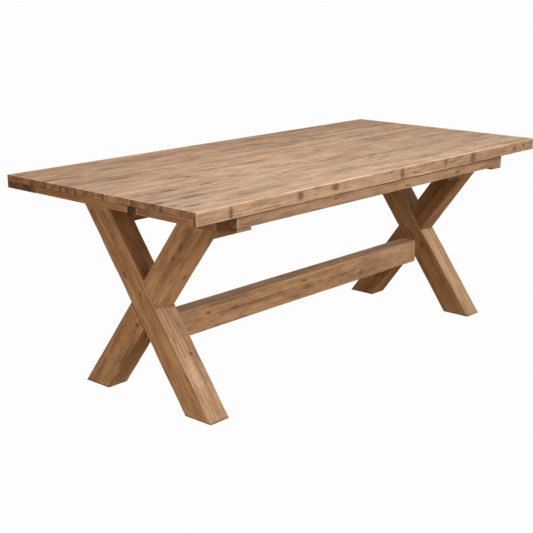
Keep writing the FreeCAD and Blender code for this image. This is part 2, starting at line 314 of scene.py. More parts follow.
# Upper faces lightened as painted light from above: the axis that each is square to, and its share. Then how
# far from the face the painted light starts and is full, and how much of it a dark streak leaves.
PAINTED_TOP_LIGHT = {"front_edge_board": (2, 0.16), "stretcher": (1, 0.15)}
TOP_LIGHT_DEPTH = (0.0050, 0.0015)
TOP_LIGHT_ON_STREAK = 0.55
# The board whose upper front arris gets a painted highlight, how far from both faces that starts and is
# full, and the step of the cloudy noise from its least to its most
BRIGHT_ARRIS = "front_edge_board"
BRIGHT_DEPTH = (0.0060, 0.0010)
BRIGHT_STEP = (0.35, 0.60, 0.45, 0.90)
# Painted shadow in the seam above an apron, under the front board, and painted shade in the seams between
# the planks' ends: how far from the edge it starts and is full, and its share. Then painted contact shadow
# at the feet, as a step over height.
APRON_TOP_SHADOW = (0.0085, 0.0035, 0.50)
PLANK_SEAM_SHADE = (0.0080, 0.0030, 0.75)
SHADOWED_APRON_TOPS = ("apron_front", "apron_rear")
CONTACT_SHADOWED_LEGS = ("near_leg_front", "near_leg_rear", "far_leg_front", "far_leg_rear")
CONTACT_SHADOW_STEP = (0.0110, 0.0010, 0.0, 0.60)

# Marks the photograph shows: place along, place across, half length, half width, and the section axis that
# the mark runs through. Places are in each timber's own axes, from its middle.
KNOTS = {
    "front_edge_board": [(-0.852, -0.002, 0.008, 0.017, "u"), (-0.528, 0.003, 0.013, 0.016, "u"),
                         (-0.346, 0.006, 0.018, 0.012, "u"), (0.040, 0.000, 0.012, 0.020, "u"),
                         (0.325, 0.004, 0.012, 0.012, "u"), (0.519, 0.000, 0.018, 0.022, "u"),
                         (0.841, -0.004, 0.014, 0.010, "u"), (0.917, 0.002, 0.012, 0.010, "u")],
    "apron_front": [(0.454, -0.003, 0.016, 0.005, "v"), (-0.300, 0.006, 0.012, 0.004, "v"),
                    (0.120, -0.008, 0.014, 0.004, "v")],
    "stretcher": [(-0.558, 0.014, 0.012, 0.006, "v"), (-0.423, 0.005, 0.022, 0.006, "v"),
                  (-0.022, 0.024, 0.014, 0.005, "v"), (0.345, -0.020, 0.016, 0.006, "v")],
    "near_leg_front": [(0.150, -0.020, 0.012, 0.006, "v"), (0.060, 0.010, 0.010, 0.005, "v")],
    "near_leg_rear": [(0.318, 0.012, 0.016, 0.008, "v"), (0.262, 0.008, 0.010, 0.006, "v"),
                      (-0.060, 0.016, 0.008, 0.006, "v"), (0.200, 0.010, 0.010, 0.008, "u")],
    "top_plank_1": [(-0.985, 0.014, 0.018, 0.014, "v")],
    "top_plank_2": [(-0.958, -0.024, 0.032, 0.012, "v"), (-0.700, 0.003, 0.040, 0.009, "v")],
    "top_plank_3": [(0.247, 0.026, 0.034, 0.011, "v"), (-0.885, 0.029, 0.045, 0.008, "v")],
    "top_plank_4": [(-0.795, -0.011, 0.055, 0.010, "v")],
    "top_plank_5": [(0.500, 0.030, 0.026, 0.010, "v"), (-0.613, -0.048, 0.018, 0.010, "v")],
    "top_plank_6": [(-0.829, -0.043, 0.040, 0.010, "v"), (-0.664, -0.052, 0.030, 0.008, "v"),
                    (-0.494, -0.018, 0.022, 0.008, "v")],
    "top_plank_7": [(-0.845, -0.031, 0.046, 0.012, "v"), (-0.985, -0.039, 0.016, 0.010, "v")],
    "top_plank_8": [(-0.980, 0.011, 0.016, 0.009, "v"), (-0.930, -0.022, 0.030, 0.009, "v")],
}
NAIL_HOLES = {"near_leg_front": [(-0.194, 0.012, 0.0085, 0.0050, "u")]}
# Broad marks, each with its share and colour. The pale patch on near_leg_front is a painted highlight; the
# marks noted below paint light and shade on the legs and the stretcher.
BROAD_MARKS = {
    # Painted highlight on the lower front face
    "near_leg_front": [((-0.265, -0.012, 0.085, 0.022, "u"), 0.48, PALE_COLOUR)],
    "near_leg_rear": [((0.270, 0.013, 0.210, 0.016, "v"), 0.70, STREAK_AND_SHADE_COLOUR),
                      # Painted warm light on the upper front face; the next mark darkens the lower front
                      # face
                      ((0.270, 0.000, 0.220, 0.042, "u"), 0.42, PAINTED_WARM_LIGHT_COLOUR),
                      ((-0.280, 0.005, 0.220, 0.040, "u"), 0.42, STREAK_AND_SHADE_COLOUR)],
    # Painted warm shade on the lower -X face, and painted light on the lower front face
    "far_leg_front": [((-0.250, 0.000, 0.350, 0.042, "v"), 0.40, PAINTED_WARM_SHADE_COLOUR),
                      ((-0.250, 0.000, 0.350, 0.038, "u"), 0.14, PALE_COLOUR)],
    "front_edge_board": [((0.560, -0.003, 0.520, 0.021, "u"), 0.32, STREAK_AND_SHADE_COLOUR)],
    # Painted shade at the stretcher's left end and painted light at its right end, then painted shadow on
    # the right end of its top; the thin dark lines after them are cracks
    "stretcher": [((-0.600, 0.000, 0.400, 0.060, "v"), 0.20, STREAK_AND_SHADE_COLOUR),
                  ((0.560, 0.000, 0.400, 0.060, "v"), 0.15, PALE_COLOUR),
                  ((0.560, 0.000, 0.240, 0.027, "u"), 0.60, STREAK_AND_SHADE_COLOUR),
                  ((-0.330, 0.016, 0.420, 0.0050, "u"), 0.60, CRACK_AND_SHADOW_COLOUR),
                  ((-0.100, -0.010, 0.520, 0.0045, "u"), 0.55, CRACK_AND_SHADOW_COLOUR),
                  ((-0.480, 0.038, 0.300, 0.0040, "v"), 0.45, CRACK_AND_SHADOW_COLOUR)],
}


def add_object(name, data):
    """A new object in the scene."""
    item = bpy.data.objects.new(name, data)
    bpy.context.scene.collection.objects.link(item)
    return item


def draws(name):
    """The random numbers of one piece, the same at every run."""
    return np.random.default_rng(zlib.crc32(name.encode()))


def waves(rng, scale, count=8):
    """A smooth random field of along, across and through, mostly between -1 and 1."""
    pulls = rng.normal(size=(count, 3)) * np.array(scale)
    starts = rng.uniform(0.0, 2 * math.pi, count)

    def field(s, u, v):
        total = 0.0
        for pull, start in zip(pulls, starts):
            total = total + np.sin(pull[0] * s + pull[1] * u + pull[2] * v + start)
        return total / (WAVE_SPREAD * math.sqrt(count))
    return field


def drying_checks(rng, name, size, style):
    """A timber's cracks: its listed ones, and random ones that keep clear of them."""
    length = size[0]
    extra = EXTRA_CHECKS.get(name, [])
    found = []
    for side, count in enumerate(style["checks"]):
        room = (size[1] if side % 2 == 0 else size[2]) / 2 - CHECK_MARGIN
        if room <= CHECK_ROOM:
            continue
        taken = [at for other, at, _, _ in extra if other == side]
        for _ in range(count):
            at = rng.uniform(-room, room)
            reach = min(rng.uniform(*style["reach"]), LONGEST_CHECK * length)
            start = rng.uniform(-length / 2 - PAST_END * reach, length / 2 - (1 - PAST_END) * reach)
            if all(abs(at - other) > CHECK_SPACING for other in taken):
                taken.append(at)
                found.append((side, at, start, start + reach))
    checks = []
    for place in found + extra:
        depth = style["depth"] * rng.uniform(*CHECK_DEPTHS)
        gape = style["gape"] * rng.uniform(*CHECK_GAPES)
        checks.append(Check(*place, depth, gape, waves(rng, WANDER_WAVES, WANDER_COUNT)))
    return checks


def section(width, depth, radii, checks):
    """The points round a timber's section: an array for each of the section's fields."""
    rows = []
    for side, corner in enumerate(CORNERS):
        out = side * math.pi / 2 - math.pi / 2
        normal = np.array([math.cos(out), math.sin(out)])
        run = np.array([-normal[1], normal[0]])
        reach = (depth if side % 2 else width) / 2
        half = (width if side % 2 else depth) / 2
        low = -reach + radii[side - 1]
        high = reach - radii[side]
        count = max(LEAST_ACROSS, int((high - low) / ACROSS_STEP) + 1)
        across = [*np.linspace(low, high, count), low + ARRIS_ROW, high - ARRIS_ROW]
        spots = [(x, NO_CHECK, False) for x in across]
        for number, check in enumerate(checks):
            if check.side == side:
                at = check.at if side < 2 else -check.at
                spots = [p for p in spots
                         if p[1] != NO_CHECK or abs(p[0] - at) > CHECK_CLEAR or p[0] in (low, high)]
                lip, shoulder = check.gape, check.gape + SHOULDER
                spots += [(at + x, number, x == 0.0) for x in (-shoulder, -lip, 0.0, lip, shoulder)]
        for x, number, root in sorted(spots):
            rows.append((*(normal * half + run * x), *-normal, False, number, root, *run))
        centre = np.array(corner) * (np.array([width, depth]) / 2 - radii[side])
        for turn in ARRIS_TURNS:
            angle = out + turn * math.pi / 2
            way = np.array([math.cos(angle), math.sin(angle)])
            rows.append((*(centre + radii[side] * way), *-way, True, NO_CHECK, False, 0.0, 0.0))
    return dict(zip(SECTION_FIELDS, np.array(rows, dtype=float).T))


def stations(length, ease):
    """Places along a timber, closer at its eased ends, and how far inwards each is eased."""
    ends = ease * np.array(END_ROWS)
    count = max(LEAST_STATIONS, int(length / STATION_STEP))
    inner = np.linspace(-length / 2 + ease, length / 2 - ease, count)
    s = np.concatenate([-length / 2 + ends, inner, length / 2 - ends[::-1]])
    from_end = np.clip(length / 2 - np.abs(s), 0.0, ease)
    return s, ease - np.sqrt(np.maximum(ease ** 2 - (ease - from_end) ** 2, 0.0))


def worn_skin(rng, s, ring, relief):
    """How far a worn surface lies inside the sawn one: broad hollows, and finer ones in them."""
    inset = 0.0
    for scale, share in ((BROAD_WAVES, 1.0), (FINE_WAVES, FINE_SHARE)):
        field = waves(rng, scale)(s[:, None], ring["u"], ring["v"])
        inset = inset + share * relief * (0.5 + 0.5 * np.clip(field, -1, 1))
    return inset


def chip_arrises(rng, inset, s, ring, radii, per_metre):
    """Add random chips to each arris, none as deep as the arris is round."""
    length = s[-1] - s[0]
    for (sign_u, sign_v), radius in zip(CORNERS, radii):
        here = (np.sign(ring["u"]) == sign_u) & (np.sign(ring["v"]) == sign_v)
        span = np.where((ring["arris"] == 1) & here)[0]
        for _ in range(rng.poisson(per_metre * length)):
            middle = rng.uniform(-length / 2, length / 2)
            long = rng.uniform(*CHIP_LENGTHS)
            bite = rng.uniform(*CHIP_BITES) * radius
            inset[:, span] += (bite * np.exp(-((s - middle) / long) ** 2))[:, None]
        inset[:, span] = np.minimum(inset[:, span], DEEPEST_CHIP * radius)


def open_checks(inset, s, ring, checks):
    """Deepen the roots of the checks, and give how far each point slides sideways with its check."""
    slide = np.zeros_like(inset)
    for number, check in enumerate(checks):
        along = np.clip((s - check.start) / (check.end - check.start), 0.0, 1.0)
        opening = np.sqrt(np.sin(math.pi * along)) * (s > check.start) * (s < check.end)
        member = ring["check"] == number
        slide[:, member] = (WANDER * np.clip(check.wander(s, 0.0, 0.0), -1, 1))[:, None]
        inset[:, member & (ring["root"] == 1)] += (check.depth * opening)[:, None]
    return slide


def loft(name, points, place):
    """A closed piece through rings of points, smooth along its sides and flat at its ends."""
    rings, around = points.shape[:2]
    first = np.arange(rings - 1)[:, None] * around
    here = np.arange(around)[None, :]
    after = (here + 1) % around
    quads = np.stack([first + here, first + after, first + around + after, first + around + here], axis=-1)
    faces = quads.reshape(-1, 4).tolist()
    faces.append(list(range(around))[::-1])
    faces.append(list(range((rings - 1) * around, rings * around)))
    mesh = bpy.data.meshes.new(name + "_shape")
    mesh.from_pydata(points.reshape(-1, 3).tolist(), [], faces)
    mesh.polygons.foreach_set("use_smooth", [True] * (len(faces) - 2) + [False, False])
    mesh.transform(place)
    mesh.update()
    return add_object(name + "_wood", mesh)


def timber(name, size, place, style_name, skew=0.0, radii=None):
    """A sawn board or beam with eased arrises, drying checks, chips and a slightly uneven skin."""
    style = STYLES[style_name]
    relief = style["relief"]
    rng = draws(name)
    radii = radii or [style["radius"] * rng.uniform(*RADIUS_SPREAD) for _ in range(4)]
    checks = drying_checks(rng, name, size, style)
    skin = SKIN + relief * rng.uniform(*SKIN_SPREAD)
    ring = section(size[1] - 2 * skin, size[2] - 2 * skin, radii, checks)

    deepest = (1 + FINE_SHARE) * relief
    ease = max(SKIN, min(END_EASE * style["radius"], ARRIS_ROOM * min(radii) - deepest))
    s, end_easing = stations(size[0], ease)
    inset = worn_skin(rng, s, ring, relief) + end_easing[:, None]
    chip_arrises(rng, inset, s, ring, radii, style["chips"])
    slide = open_checks(inset, s, ring, checks)

    u = ring["u"] + ring["inward_u"] * inset + ring["run_u"] * slide
    v = ring["v"] + ring["inward_v"] * inset + ring["run_v"] * slide
    return loft(name, np.stack([s[:, None] + skew * u, u, v], axis=-1), place)


def box_cutter(low, high, place=None):
    """A plain cutter for the joints; it isn't part of the table."""
    corners = [(x, y, z) for x in (low[0], high[0]) for y in (low[1], high[1]) for z in (low[2], high[2])]
    faces = [(0, 1, 3, 2), (4, 6, 7, 5), (0, 4, 5, 1), (2, 3, 7, 6), (0, 2, 6, 4), (1, 5, 7, 3)]
    mesh = bpy.data.meshes.new("box_cutter")
    mesh.from_pydata(corners, [], faces)
    if place is not None:
        mesh.transform(place)
    return add_object("box_cutter", mesh)


def bore_cutter(centre, low, high):
    """A round cutter that stands along Z."""
    turns = [2 * math.pi * i / BORE_SIDES for i in range(BORE_SIDES)]
    rims = [(centre[0] + BORE_RADIUS * math.cos(t), centre[1] + BORE_RADIUS * math.sin(t), z)
            for z in (low, high) for t in turns]
    faces = [(i, (i + 1) % BORE_SIDES, BORE_SIDES + (i + 1) % BORE_SIDES, BORE_SIDES + i)
             for i in range(BORE_SIDES)]
    faces += [tuple(range(BORE_SIDES))[::-1], tuple(range(BORE_SIDES, 2 * BORE_SIDES))]
    mesh = bpy.data.meshes.new("bore_cutter")
    mesh.from_pydata(rims, [], faces)
    return add_object("bore_cutter", mesh)


def cut(piece, cutters):
    """Take the cutters out of a piece, and put the result into its mesh."""
    for cutter in cutters:
        step = piece.modifiers.new("cut", "BOOLEAN")
        step.operation = "DIFFERENCE"
        step.solver = "EXACT"
        step.object = cutter
    bpy.context.view_layer.update()
    shown = piece.evaluated_get(bpy.context.evaluated_depsgraph_get())
    made = bpy.data.meshes.new_from_object(shown)
    piece.modifiers.clear()
    old = piece.data
    piece.data = made
    bpy.data.meshes.remove(old)
    for cutter in cutters:
        mesh = cutter.data
        bpy.data.objects.remove(cutter)
        bpy.data.meshes.remove(mesh)


def give_grain(piece, size, place, skew):
    """Store each vertex's place in the timber, its nearness to an arris, and which faces cut the grain."""
    mesh = piece.data
    world = np.empty(len(mesh.vertices) * 3)
    mesh.vertices.foreach_get("co", world)
    back = np.array(place.inverted())
    local = world.reshape(-1, 3) @ back[:3, :3].T + back[:3, 3]
    grain = mesh.attributes.new("grain", "FLOAT_VECTOR", "POINT")
    grain.data.foreach_set("vector", local.astype(np.float32).ravel())

    straight = local.copy()
    straight[:, 0] -= skew * local[:, 1]
    gaps = np.sort(np.array(size) / 2 - np.abs(straight), axis=1)
    wear = mesh.attributes.new("wear", "FLOAT", "POINT")
    wear.data.foreach_set("value", np.clip(1.0 - gaps[:, 1] / WEAR_REACH, 0.0, 1.0).astype(np.float32))

    along = place.col[0].to_3d()
    ends = [1.0 if abs(face.normal.dot(along)) > END_FACING else 0.0 for face in mesh.polygons]
    cut_faces = mesh.attributes.new("end_cut", "FLOAT", "FACE")
    cut_faces.data.foreach_set("value", ends)


class Graph:
    """A short way to write the nodes of a material or a world. A value is a socket, a number or a tuple."""

    def __init__(self, owner, shader="Principled BSDF"):
        owner.use_nodes = True
        self.nodes = owner.node_tree.nodes
        self.links = owner.node_tree.links
        self.shader = self.nodes[shader]

    def feed(self, socket, value):
        if isinstance(value, bpy.types.NodeSocket):
            self.links.new(value, socket)
        else:
            socket.default_value = value

    def attribute(self, name, output="Fac"):
        node = self.nodes.new("ShaderNodeAttribute")
        node.attribute_name = name
        return node.outputs[output]

    def coordinates(self, kind):
        return self.nodes.new("ShaderNodeTexCoord").outputs[kind]

    def math(self, operation, a, b=0.0):
        node = self.nodes.new("ShaderNodeMath")
        node.operation = operation
        self.feed(node.inputs[0], a)
        self.feed(node.inputs[1], b)
        return node.outputs[0]

    def weigh(self, base, fields, weights):
        """Base plus the sum of the named fields, each times its weight."""
        total = base
        for key, weight in weights.items():
            total = self.math("ADD", total, self.math("MULTIPLY", fields[key], weight))
        return total

    def vector(self, operation, a, b=(0.0, 0.0, 0.0)):
        node = self.nodes.new("ShaderNodeVectorMath")
        node.operation = operation
        self.feed(node.inputs[0], a)
        self.feed(node.inputs[1], b)
        return node.outputs["Value" if operation == "LENGTH" else "Vector"]

    def split(self, value):
        node = self.nodes.new("ShaderNodeSeparateXYZ")
        self.feed(node.inputs[0], value)
        return node.outputs

    def join(self, x, y, z=0.0):
        node = self.nodes.new("ShaderNodeCombineXYZ")
        for socket, value in zip(node.inputs, (x, y, z)):
            self.feed(socket, value)
        return node.outputs[0]

    def step(self, value, low, high, start=0.0, end=1.0):
        """A smooth step from start to end while value goes from low to high."""
        node = self.nodes.new("ShaderNodeMapRange")
        node.interpolation_type = "SMOOTHSTEP"
        for socket, number in zip(node.inputs, (value, low, high, start, end)):
            self.feed(socket, number)
        return node.outputs[0]

    def near_face(self, value, half, start, full, share=1.0):
        """A smooth step to share towards the face at half: how far from it that starts and is full."""
        return self.step(value, half - start, half - full, 0.0, share)

    def noise(self, point, stretch, detail, roughness):
        node = self.nodes.new("ShaderNodeTexNoise")
        self.feed(node.inputs["Vector"], self.vector("MULTIPLY", point, stretch))
        node.inputs["Scale"].default_value = 1.0
        node.inputs["Detail"].default_value = detail
        node.inputs["Roughness"].default_value = roughness
        return node.outputs[0]

    def mix(self, factor, a, b, blend="MIX"):
        node = self.nodes.new("ShaderNodeMix")
        node.data_type = "RGBA"
        node.blend_type = blend
        self.feed(node.inputs[0], factor)
        for socket, colour in ((node.inputs[6], a), (node.inputs[7], b)):
            self.feed(socket, (*colour, 1.0) if isinstance(colour, tuple) else colour)
        return node.outputs[2]

    def stain(self, colour, shade, mask, share):
        """A colour that turns to shade where the mask is, by share at most."""
        return self.mix(self.math("MULTIPLY", mask, share), colour, shade)

    def ramp(self, value, stops):
        node = self.nodes.new("ShaderNodeValToRGB")
        self.feed(node.inputs[0], value)
        bar = node.color_ramp.elements
        while len(bar) < len(stops):
            bar.new(0.5)
        for element, (place, colour) in zip(bar, stops):
            element.position = place
            element.color = (*colour, 1.0)
        return node.outputs[0]

    def surface(self, colour, roughness, height, strength, depth):
        """Give the shader its colour and roughness, and the height as bump."""
        bump = self.nodes.new("ShaderNodeBump")
        bump.inputs["Strength"].default_value = strength
        bump.inputs["Distance"].default_value = depth
        self.feed(bump.inputs["Height"], height)
        self.feed(self.shader.inputs["Base Color"], colour)
        self.feed(self.shader.inputs["Roughness"], roughness)
        self.feed(self.shader.inputs["Normal"], bump.outputs[0])


def spot(g, parts, mark, ripple):
    """How far a point is from a mark's middle, in half sizes, with an uneven edge."""
    along, across, long, wide, axis = mark
    side = parts[1] if axis == "v" else parts[2]
    x = g.math("MULTIPLY", g.math("SUBTRACT", parts[0], along), 1.0 / long)
    y = g.math("MULTIPLY", g.math("SUBTRACT", side, across), 1.0 / wide)
    return g.math("ADD", g.vector("LENGTH", g.join(x, y)), ripple)


def spots_mask(g, parts, marks, ripple, edge):
    """One mask of several marks."""
    mask = 0.0
    for mark in marks:
        mask = g.math("MAXIMUM", mask, g.step(spot(g, parts, mark, ripple), *edge))
    return mask


def knot_marks(rng, name, look, size):
    """The knots that the photograph shows on a piece, or else a few random ones."""
    if name in KNOTS:
        return KNOTS[name]
    marks = []
    for _ in range(look["knots"]):
        axis = "v" if size[1] >= size[2] or rng.uniform() < 0.5 else "u"
        room = (size[1] if axis == "v" else size[2]) * KNOT_ROOM
        wide = rng.uniform(*KNOT_WIDTHS)
        along = rng.uniform(-KNOT_REACH, KNOT_REACH) * size[0]
        across = rng.uniform(-room, room)
        marks.append((along, across, wide * rng.uniform(*KNOT_STRETCH), wide, axis))
    return marks


def grain_fields(g, point, fineness):
    """The noise of the wood's figure, with its dashes, streaks and cracks cut from it."""
    fields = {}
    for table, scale in ((BROAD_NOISE, 1.0), (FINE_NOISE, fineness)):
        for key, (along, across, detail, roughness) in table.items():
            fields[key] = g.noise(point, (along, across * scale, across * scale), detail, roughness)
    for key, step in PATTERN_STEPS.items():
        fields[key] = g.step(fields[key], *step)
    fields["streak"] = g.math("MULTIPLY", fields["streak"], fields["patch"])
    line = g.math("ABSOLUTE", g.math("SUBTRACT", fields["line"], 0.5))
    fields["crack"] = g.math("MULTIPLY", g.step(line, *CRACK_STEP), fields["broken"])
    return fields


def late_wood(g, rng, parts, size, spacing, fields):
    """The dark part of the rings about a pith that lies outside the timber."""
    pith_u = rng.uniform(*PITH_ACROSS) * size[1]
    pith_v = -rng.uniform(*PITH_BELOW) * size[2] - PITH_GAP
    from_pith = g.join(g.math("SUBTRACT", parts[1], pith_u), g.math("SUBTRACT", parts[2], pith_v))
    radius = g.weigh(g.vector("LENGTH", from_pith), fields, RING_BENDS)
    phase = g.math("FRACT", g.math("DIVIDE", radius, spacing))
    return g.math("SUBTRACT", g.step(phase, *LATE_STARTS), g.step(phase, *LATE_ENDS))


def paled(g, name, look, size, parts, wear, fields):
    """How far rubbing has paled the arrises, plus painted light on upper faces and a painted highlight on
    one arris.
    """
    least, most = (share * WEAR_SHARES.get(name, 1.0) for share in look["wear"])
    pale_share = g.math("MULTIPLY", wear, g.step(fields["cloud"], *RUBBED_STEP, least, most))
    # Painted light on upper faces, less where a dark streak lies
    if name in PAINTED_TOP_LIGHT:
        axis, share = PAINTED_TOP_LIGHT[name]
        upper = g.near_face(parts[axis], size[axis] / 2, *TOP_LIGHT_DEPTH, share)
        left = g.step(fields["streak"], 0.0, 1.0, 1.0, TOP_LIGHT_ON_STREAK)
        pale_share = g.math("MAXIMUM", pale_share, g.math("MULTIPLY", upper, left))
    # Painted highlight along the upper front arris
    if name == BRIGHT_ARRIS:
        front = g.near_face(g.math("MULTIPLY", parts[1], -1.0), size[1] / 2, *BRIGHT_DEPTH)
        upper = g.near_face(parts[2], size[2] / 2, *BRIGHT_DEPTH)
        arris = g.math("MULTIPLY", front, upper)
        bright = g.math("MULTIPLY", arris, g.step(fields["cloud"], *BRIGHT_STEP))
        pale_share = g.math("MAXIMUM", pale_share, bright)
    return pale_share


def with_painted_shadows(g, name, size, parts, colour):
    """Add the painted shadow in the seam above an apron and the painted contact shadow at the feet of the
    legs.
    """
    if name in SHADOWED_APRON_TOPS:
        # Painted shadow from the front board on the apron's top
        colour = g.mix(g.near_face(parts[1], size[1] / 2, *APRON_TOP_SHADOW), colour, CRACK_AND_SHADOW_COLOUR)
    if name in CONTACT_SHADOWED_LEGS:
        # Painted contact shadow, darker towards the floor
        level = g.split(g.nodes.new("ShaderNodeNewGeometry").outputs["Position"])[2]
        colour = g.mix(g.step(level, *CONTACT_SHADOW_STEP), colour, CRACK_AND_SHADOW_COLOUR)
    return colour


def with_end_grain(g, name, size, parts, end_cut, uneven, colour):
    """Darken the faces that cut the grain, and paint shade into the seams between the planks' ends."""
    cut_tint = g.mix(1.0, g.join(uneven, uneven, uneven), END_GRAIN_TINT, "MULTIPLY")
    share = g.math("MULTIPLY", end_cut, END_GRAIN_SHARES.get(name, 1.0))
    colour = g.mix(1.0, colour, g.mix(share, WHITE, cut_tint), "MULTIPLY")
    # Painted shade in the seams between the planks' ends
    if name.startswith("top_plank"):
        beside = g.near_face(g.math("ABSOLUTE", parts[1]), size[1] / 2, *PLANK_SEAM_SHADE)
        colour = g.mix(g.math("MULTIPLY", beside, end_cut), colour, CRACK_AND_SHADOW_COLOUR)
    return colour


def wood_material(name, slot, size, grained=True):
    """Solid wood: rings about a pith, fibres, streaks, cracks, knots, worn arrises, darker end grain,
    painted light and shade.
    """
    look = LOOKS[slot]
    tint = TINTS_AND_PAINTED_SHADE.get(name, WHITE)
    light, mid, dark = (tuple(c * t for c, t in zip(look[key], tint)) for key in ("light", "mid", "dark"))
    rng = draws(name + slot)
    material = bpy.data.materials.new(name + "_finish")
    g = Graph(material)
    if grained:
        place, wear, end_cut = g.attribute("grain", "Vector"), g.attribute("wear"), g.attribute("end_cut")
    else:
        place, wear, end_cut = g.coordinates("Object"), 0.0, 0.0
    parts = g.split(place)
    point = g.vector("ADD", place, tuple(rng.uniform(-NOISE_SHIFT, NOISE_SHIFT, 3)))

    fields = grain_fields(g, point, look["fineness"])
    ripple = g.weigh(RIPPLE_BASE, fields, {"ripple": RIPPLE_WEIGHT})
    knots = knot_marks(rng, name, look, size)
    fields["core"] = spots_mask(g, parts, knots, ripple, KNOT_CORE)
    fields["halo"] = spots_mask(g, parts, knots, ripple, KNOT_HALO)
    fields["hole"] = spots_mask(g, parts, NAIL_HOLES.get(name, ()), 0.0, HOLE_EDGE)
    fields["late"] = late_wood(g, rng, parts, size, look["rings"], fields)

    weights = {"blotch": BLOTCH_WEIGHT, "band": look["bands"], "mottle": look["mottle"],
               "cloud": CLOUD_WEIGHT, "fibre": FIBRE_WEIGHT}
    # Noise averages a half, so this base lets the tone do so too
    base = 0.5 - 0.5 * sum(weights.values())
    tone = g.weigh(base, fields, {**weights, "late": LATE_WEIGHT})
    colour = g.ramp(tone, list(zip(TONE_STOPS, (dark, mid, light))))
    colour = g.stain(colour, STREAK_AND_SHADE_COLOUR, fields["streak"], look["streaks"])
    colour = g.stain(colour, STREAK_AND_SHADE_COLOUR, fields["dashes"], look["dashes"])
    # Broad marks, some of them painted light and shade
    for mark, share, shade in BROAD_MARKS.get(name, ()):
        colour = g.stain(colour, shade, spots_mask(g, parts, [mark], ripple, BROAD_EDGE), share)
    colour = g.stain(colour, dark, fields["halo"], HALO_SHARE)
    colour = g.stain(colour, KNOT_COLOUR, fields["core"], CORE_SHARE)
    colour = g.stain(colour, CRACK_AND_SHADOW_COLOUR, fields["crack"], look["cracks"])
    # Pale rubbed arrises, with painted light on upper faces and a painted highlight on the front arris
    colour = g.mix(paled(g, name, look, size, parts, wear, fields), colour, PALE_COLOUR)
    colour = g.stain(colour, CRACK_AND_SHADOW_COLOUR, fields["hole"], HOLE_SHARE)
    # Painted shadow at the apron tops and painted contact shadow at the feet
    colour = with_painted_shadows(g, name, size, parts, colour)
    if grained:
        # Darker end grain, and painted shade in the seams between the planks' ends
        colour = with_end_grain(g, name, size, parts, end_cut, fields["end"], colour)

    roughness = g.weigh(BASE_ROUGHNESS, fields, ROUGHNESS_WEIGHTS)
    height = g.weigh(0.0, fields, HEIGHT_WEIGHTS)
    g.surface(colour, roughness, height, *WOOD_BUMP)
    g.shader.inputs["Specular IOR Level"].default_value = WOOD_GLOSS
    return material


def steel_material():
    """Dull zinc-plated steel with fine scratches and darker, rougher patches."""
    material = bpy.data.materials.new("plated_steel_finish")
    g = Graph(material)
    place = g.coordinates("Object")
    fields = {}
    for key, (stretch, detail) in STEEL_NOISE.items():
        fields[key] = g.noise(place, stretch, detail, STEEL_NOISE_ROUGHNESS)
    colour = g.ramp(g.weigh(0.0, fields, STEEL_TONE), STEEL_COLOURS)
    roughness = g.weigh(STEEL_ROUGHNESS, fields, STEEL_ROUGHNESS_WEIGHTS)
    g.surface(colour, roughness, fields["scratch"], *STEEL_BUMP)
    g.shader.inputs["Metallic"].default_value = 1.0
    return material


def dress(piece, node, slot, size, place, skew=0.0):
    """Give a finished timber its grain and finish, and let it stand for its CAD node."""
    give_grain(piece, size, place, skew)
    piece.data.materials.clear()
    piece.data.materials.append(wood_material(node, slot, size))
    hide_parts(node)
    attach(piece, BODY)


def placed(centre, along, across):
    """The matrix of a timber's own axes."""
    through = along.cross(across)
    turn = Matrix((along, across, through)).transposed().to_4x4()
    return Matrix.Translation(centre) @ turn


def board(node, slot, style, along, across, radii=None, cutters=(), limits=None):
    """A straight timber that fills its node's box, or the limits that are given for it."""
    low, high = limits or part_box(node)
    axes = AXES[along], AXES[across]
    through = axes[0].cross(axes[1])
    size = [abs((high - low).dot(axis)) for axis in (*axes, through)]
    place = placed((low + high) / 2, *axes)
    piece = timber(node, size, place, style, radii=radii)
    if cutters:
        cut(piece, cutters)
    dress(piece, node, slot, size, place)


def leg_axes(node):
    """A leg's size, matrix and skew, read from the level cuts at its two ends."""
    points = np.array([v.co for v in frame["nodes"][node].data.vertices])
    top = points[:, 2].max()
    foot_y = points[points[:, 2] < LEVEL][:, 1]
    head_y = points[points[:, 2] > top - LEVEL][:, 1]
    foot = Vector((0, (foot_y.min() + foot_y.max()) / 2, 0))
    head = Vector((0, (head_y.min() + head_y.max()) / 2, top))
    low_x, high_x = points[:, 0].min(), points[:, 0].max()
    along = (head - foot).normalized()
    across = AXES["X"].cross(along)
    middle = (foot + head) / 2 + Vector(((low_x + high_x) / 2, 0, 0))
    size = [(head - foot).length, (foot_y.max() - foot_y.min()) * along.z, high_x - low_x]
    return size, placed(middle, along, across), -across.z / along.z


def leg(node, other, keeps_low_x):
    """A leg beam with level ends, half-lapped with the other leg of its frame."""
    size, place, skew = leg_axes(node)
    other_size, other_place, _ = leg_axes(other)
    piece = timber(node, size, place, "beam", skew=skew)
    half = other_size[1] / 2 - LAP_SNUG
    lap = (-LAP_GAP, CUTTER_REACH) if keeps_low_x else (-CUTTER_REACH, LAP_GAP)
    cut(piece, [box_cutter((-CUTTER_REACH, -half, lap[0]), (CUTTER_REACH, half, lap[1]), other_place)])
    dress(piece, node, "frame_wood", size, place, skew)


def fastener_places(node):
    """The middles, in plan, of the fasteners that share one node."""
    found = []
    for vertex in frame["nodes"][node].data.vertices:
        place = vertex.co.to_2d()
        for group in found:
            if (group[0] - place).length < FASTENER_SPREAD:
                group.append(place)
                break
        else:
            found.append([place])
    middles = []
    for group in found:
        xs, ys = [p.x for p in group], [p.y for p in group]
        middles.append(((min(xs) + max(xs)) / 2, (min(ys) + max(ys)) / 2))
    return middles


